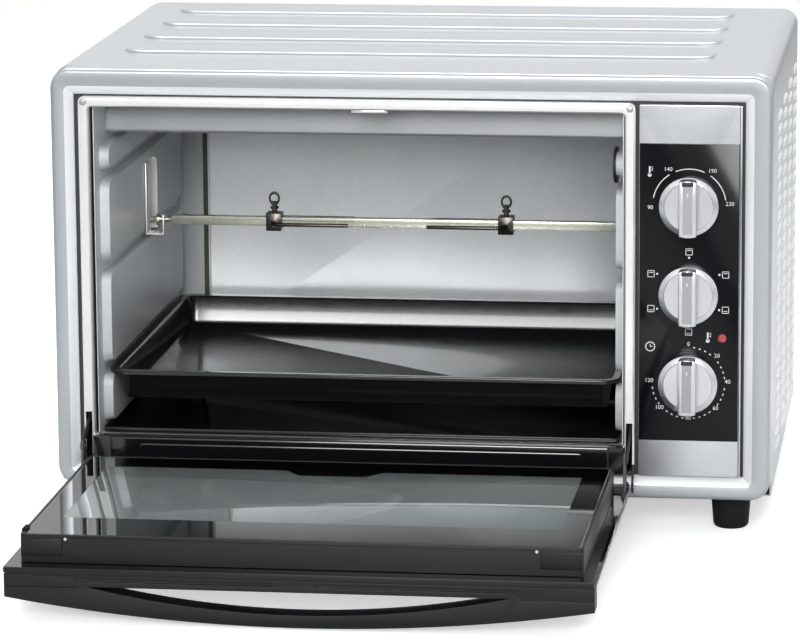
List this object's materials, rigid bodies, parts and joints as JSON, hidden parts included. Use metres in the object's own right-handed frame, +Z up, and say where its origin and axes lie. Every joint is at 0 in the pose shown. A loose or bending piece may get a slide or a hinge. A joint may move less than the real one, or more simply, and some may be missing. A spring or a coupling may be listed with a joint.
{
  "type": "countertop rotisserie oven",
  "caption": "Silver countertop electric oven with a drop-down glass door, a rotisserie spit with forks, a black baking tray and a column of dial controls.",
  "frame": {"origin": "centre of the whole object's box, on the surface that the feet stand on, with the door lying open", "axes": "+Z up, the front faces -Y, +X to the right as seen from the front"},
  "size_m": [0.55, 0.6998, 0.3545],
  "materials": {
    "silver_paint": "satin metallic silver paint on pressed steel",
    "brushed_stainless": "brushed stainless sheet",
    "aluminised_steel": "aluminised steel sheet, faintly mottled",
    "zinc_steel": "zinc-plated steel",
    "chrome": "polished chrome plate",
    "satin_silver": "satin silver, fine turned face",
    "gloss_black": "gloss black printed overlay",
    "black_glass": "black-tinted toughened glass",
    "clear_glass": "toughened glass with a black fired border",
    "black_plastic": "moulded black heat-resistant plastic",
    "black_enamel": "black vitreous enamel",
    "black_rubber": "black moulded rubber",
    "heater_sheath": "dark oxidised steel tube",
    "red_lens": "translucent red lens",
    "phenolic": "brown phenolic moulding"
  },
  "bodies": {
    "oven_body": {"back_panel": "silver_paint", "base_plate": "zinc_steel", "cavity_back": "aluminised_steel", "cavity_floor": "aluminised_steel", "cavity_left_wall": "aluminised_steel", "cavity_right_wall": "aluminised_steel", "cavity_roof": "aluminised_steel", "control_overlay": "gloss_black", "control_panel": "brushed_stainless", "door_catch": "chrome", "fan_motor": "zinc_steel", "fan_shroud": "aluminised_steel", "fascia_plate": "zinc_steel", "foot_front_left": "black_rubber", "foot_front_right": "black_rubber", "foot_rear_left": "black_rubber", "foot_rear_right": "black_rubber", "foot_screw_front_left": "zinc_steel", "foot_screw_front_right": "zinc_steel", "foot_screw_rear_left": "zinc_steel", "foot_screw_rear_right": "zinc_steel", "front_frame": "silver_paint", "function_body": "phenolic", "heater_baffle": "aluminised_steel", "hinge_pin_left": "zinc_steel", "hinge_pin_right": "zinc_steel", "lower_heater": "heater_sheath", "mains_inlet_bush": "black_plastic", "opening_ring": "brushed_stainless", "outer_shell": "silver_paint", "pilot_lamp": "red_lens", "spit_motor": "zinc_steel", "spit_rest": "zinc_steel", "thermostat_body": "phenolic", "timer_bell": "chrome", "timer_body": "zinc_steel", "upper_heater": "heater_sheath"},
    "door": {"door_outer_pane": "black_glass", "door_inner_frame": "black_plastic", "door_inner_pane": "clear_glass", "door_handle": "black_plastic", "hinge_leaf_left": "zinc_steel", "hinge_leaf_right": "zinc_steel"},
    "hinge_arm_left_body": {"hinge_arm_left": "zinc_steel"},
    "hinge_arm_right_body": {"hinge_arm_right": "zinc_steel"},
    "thermostat_control": {"thermostat_knob": "satin_silver", "thermostat_shaft": "zinc_steel"},
    "function_control": {"function_knob": "satin_silver", "function_shaft": "zinc_steel"},
    "timer_control": {"timer_knob": "satin_silver", "timer_shaft": "zinc_steel"},
    "spit": {"spit_rod": "chrome", "spit_socket": "zinc_steel"},
    "fork_left": {"spit_fork_left": "chrome"},
    "fork_right": {"spit_fork_right": "chrome"},
    "fork_clamp_left": {"fork_screw_left": "chrome"},
    "fork_clamp_right": {"fork_screw_right": "chrome"},
    "fan": {"convection_fan": "zinc_steel"},
    "tray": {"baking_tray": "black_enamel"},
    "crumb_drawer": {"crumb_tray": "black_enamel"}
  },
  "joints": [
    {"name": "door_hinge", "type": "hinge", "parent": "oven_body", "child": "door", "pos_m": [-0.04075, -0.0534, 0.0375], "axis": [-1, 0, 0], "range_deg": [0, 90]},
    {"name": "hinge_arm_left_pivot", "type": "hinge", "parent": "door", "child": "hinge_arm_left_body", "pos_m": [-0.2487, -0.0754, 0.0645], "axis": [1, 0, 0], "range_deg": [0, 90]},
    {"name": "hinge_arm_right_pivot", "type": "hinge", "parent": "door", "child": "hinge_arm_right_body", "pos_m": [0.1672, -0.0754, 0.0645], "axis": [1, 0, 0], "range_deg": [0, 90]},
    {"name": "thermostat_knob_turn", "type": "hinge", "parent": "oven_body", "child": "thermostat_control", "pos_m": [0.2129, -0.0491, 0.2548], "axis": [0, 1, 0], "range_deg": [-100, 100]},
    {"name": "function_knob_turn", "type": "hinge", "parent": "oven_body", "child": "function_control", "pos_m": [0.2129, -0.0491, 0.1868], "axis": [0, 1, 0], "range_deg": [0, 300]},
    {"name": "timer_knob_turn", "type": "hinge", "parent": "oven_body", "child": "timer_control", "pos_m": [0.2129, -0.0491, 0.1185], "axis": [0, 1, 0], "range_deg": [0, 270]},
    {"name": "spit_spin", "type": "hinge", "parent": "oven_body", "child": "spit", "pos_m": [0, 0.1289, 0.2055], "axis": [1, 0, 0], "continuous": true},
    {"name": "fork_left_slide", "type": "slide", "parent": "spit", "child": "fork_left", "axis": [1, 0, 0], "range_m": [-0.03, 0.055]},
    {"name": "fork_right_slide", "type": "slide", "parent": "spit", "child": "fork_right", "axis": [1, 0, 0], "range_m": [-0.055, 0.04]},
    {"name": "fork_left_clamp_turn", "type": "hinge", "parent": "fork_left", "child": "fork_clamp_left", "pos_m": [-0.132, 0.1289, 0.2055], "axis": [0, 0, 1], "range_deg": [0, 360]},
    {"name": "fork_right_clamp_turn", "type": "hinge", "parent": "fork_right", "child": "fork_clamp_right", "pos_m": [0.055, 0.1289, 0.2055], "axis": [0, 0, 1], "range_deg": [0, 360]},
    {"name": "fan_spin", "type": "hinge", "parent": "oven_body", "child": "fan", "pos_m": [0.1631, 0.2309, 0.2055], "axis": [1, 0, 0], "continuous": true},
    {"name": "tray_slide", "type": "slide", "parent": "oven_body", "child": "tray", "axis": [0, 1, 0], "range_m": [-0.25, 0]},
    {"name": "crumb_tray_slide", "type": "slide", "parent": "oven_body", "child": "crumb_drawer", "axis": [0, 1, 0], "range_m": [-0.27, 0]}
  ],
  "couplings": [
    {"joint": "hinge_arm_left_pivot", "follows": "door_hinge", "ratio": 0.92333},
    {"joint": "hinge_arm_right_pivot", "follows": "door_hinge", "ratio": 0.92333}
  ]
}
